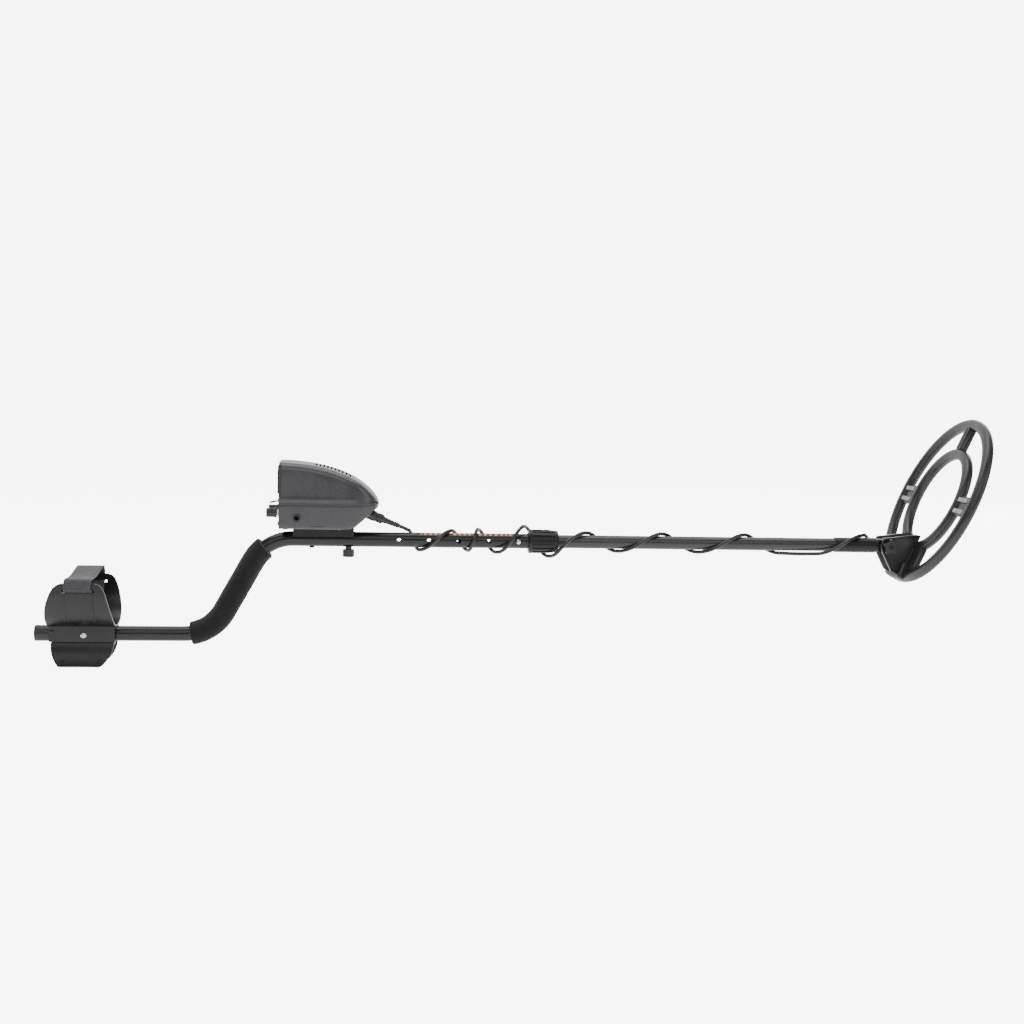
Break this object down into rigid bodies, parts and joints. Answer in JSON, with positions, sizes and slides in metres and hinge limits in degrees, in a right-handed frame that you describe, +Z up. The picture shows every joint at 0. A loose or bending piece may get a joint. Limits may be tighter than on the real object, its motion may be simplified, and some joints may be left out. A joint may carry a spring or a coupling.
{
  "type": "metal detector",
  "caption": "Hand-held metal detector with an S-bent telescoping stem, arm rest, foam grip, control box, and a ring coil that tilts on a yoke.",
  "frame": {"origin": "on the floor under the foot's two rails, at the middle of the object's length and width", "axes": "+X forward along the stem to the coil, +Y to the operator's left, +Z up"},
  "size_m": [1.2708, 0.246, 0.3453],
  "materials": {
    "stem_tube": "satin black powder coat",
    "end_cap_rubber": "matte",
    "grip_foam": "matte closed-cell foam",
    "rest_plastic": "fine texture",
    "strap_webbing": "woven webbing",
    "case_plastic": "fine texture, dark grey",
    "panel_plastic": "satin",
    "knob_plastic": "satin",
    "bright_steel": "zinc plated",
    "chrome_part": "polished",
    "spring_steel": "blued",
    "dial_card": "printed card",
    "clear_window": "clear",
    "needle_red": "satin",
    "board_green": "solder mask",
    "speaker_frame": "satin",
    "battery_jacket": "printed tin",
    "coil_plastic": "satin black",
    "rib_plastic": "pale grey",
    "fitting_plastic": "glass filled nylon",
    "copper_winding": "enamelled copper",
    "cable_jacket": "satin PVC",
    "washer_rubber": "matte"
  },
  "bodies": {
    "handle": {"upper_stem": "stem_tube", "tube_end_cap": "end_cap_rubber", "foam_grip": "grip_foam", "arm_cuff": "rest_plastic", "cuff_bolt": "bright_steel", "cuff_nut": "bright_steel", "arm_foot": "rest_plastic", "foot_screws": "fitting_plastic", "arm_strap": "strap_webbing", "box_saddle": "fitting_plastic", "saddle_screw": "fitting_plastic", "clamp_nut": "bright_steel", "lower_case": "case_plastic", "upper_case": "case_plastic", "rear_panel": "panel_plastic", "panel_screws": "bright_steel", "case_screws": "bright_steel", "meter_case": "panel_plastic", "meter_dial": "dial_card", "meter_lens": "clear_window", "toggle_switch": "bright_steel", "potentiometers": "bright_steel", "circuit_board": "board_green", "speaker": "speaker_frame", "batteries": "battery_jacket", "headphone_jack": "knob_plastic", "coil_socket": "bright_steel", "coil_plug": "knob_plastic", "plug_boot": "cable_jacket", "collet_bush": "fitting_plastic", "cable_upper": "cable_jacket"},
    "extension": {"lower_stem": "stem_tube", "button_spring": "spring_steel", "coil_yoke": "fitting_plastic", "cable_lower": "cable_jacket", "cable_tail": "cable_jacket"},
    "coil": {"ear_washers": "washer_rubber", "pivot_bolt": "fitting_plastic", "coil_upper_shell": "coil_plastic", "coil_lower_shell": "coil_plastic", "bridge_ribs": "rib_plastic", "outer_winding": "copper_winding", "inner_winding": "copper_winding", "coil_screws": "fitting_plastic", "cable_gland": "fitting_plastic"},
    "wing_nut": {"wing_nut": "fitting_plastic"},
    "collar": {"lock_collar": "fitting_plastic"},
    "snap_button": {"snap_button": "chrome_part"},
    "clamp_knob": {"clamp_knob": "knob_plastic"},
    "plug_ring": {"plug_ring": "knob_plastic"},
    "left_knob": {"left_shaft": "bright_steel", "left_knob": "knob_plastic"},
    "right_knob": {"right_shaft": "bright_steel", "right_knob": "knob_plastic"},
    "toggle_lever": {"toggle_lever": "chrome_part"},
    "meter_needle": {"meter_needle": "needle_red"},
    "battery_door": {"battery_door": "case_plastic"}
  },
  "joints": [
    {"name": "stem_slide", "type": "slide", "parent": "handle", "child": "extension", "axis": [-1, 0, 0], "range_m": [0, 0.16], "deforming": ["cable_lower", "snap_button"]},
    {"name": "coil_tilt", "type": "hinge", "parent": "extension", "child": "coil", "pos_m": [0.51159, 0, 0.169], "axis": [0, 1, 0], "range_deg": [-40, 88], "deforming": ["cable_tail"]},
    {"name": "wing_nut_turn", "type": "hinge", "parent": "coil", "child": "wing_nut", "pos_m": [0.51159, -0.02, 0.169], "axis": [0, -1, 0], "continuous": true},
    {"name": "collar_twist", "type": "hinge", "parent": "handle", "child": "collar", "pos_m": [0.03259, 0, 0.169], "axis": [1, 0, 0], "range_deg": [0, 90]},
    {"name": "button_press", "type": "slide", "parent": "extension", "child": "snap_button", "axis": [0, 1, 0], "range_m": [0, 0.0034], "stiffness_N_per_m": 400, "springref_m": -0.002, "deforming": ["button_spring"]},
    {"name": "clamp_turn", "type": "hinge", "parent": "handle", "child": "clamp_knob", "pos_m": [-0.22741, 0, 0.151], "axis": [0, 0, 1], "continuous": true},
    {"name": "plug_ring_turn", "type": "hinge", "parent": "handle", "child": "plug_ring", "pos_m": [-0.19141, 0, 0.1995], "axis": [0.9336, 0, -0.3584], "continuous": true},
    {"name": "left_knob_turn", "type": "hinge", "parent": "handle", "child": "left_knob", "pos_m": [-0.32741, 0.024, 0.2058], "axis": [1, 0, 0], "range_deg": [-135, 135]},
    {"name": "right_knob_turn", "type": "hinge", "parent": "handle", "child": "right_knob", "pos_m": [-0.32741, -0.024, 0.2058], "axis": [1, 0, 0], "range_deg": [-135, 135]},
    {"name": "toggle_flip", "type": "hinge", "parent": "handle", "child": "toggle_lever", "pos_m": [-0.31891, 0, 0.2195], "axis": [0, 1, 0], "range_deg": [0, 22]},
    {"name": "needle_swing", "type": "hinge", "parent": "handle", "child": "meter_needle", "pos_m": [-0.31541, 0, 0.237], "axis": [1, 0, 0], "range_deg": [0, 84], "stiffness_Nm_per_rad": 0.0002, "springref_deg": -11.46},
    {"name": "battery_door_lift", "type": "slide", "parent": "handle", "child": "battery_door", "axis": [0, 1, 0], "range_m": [0, 0.02]}
  ]
}
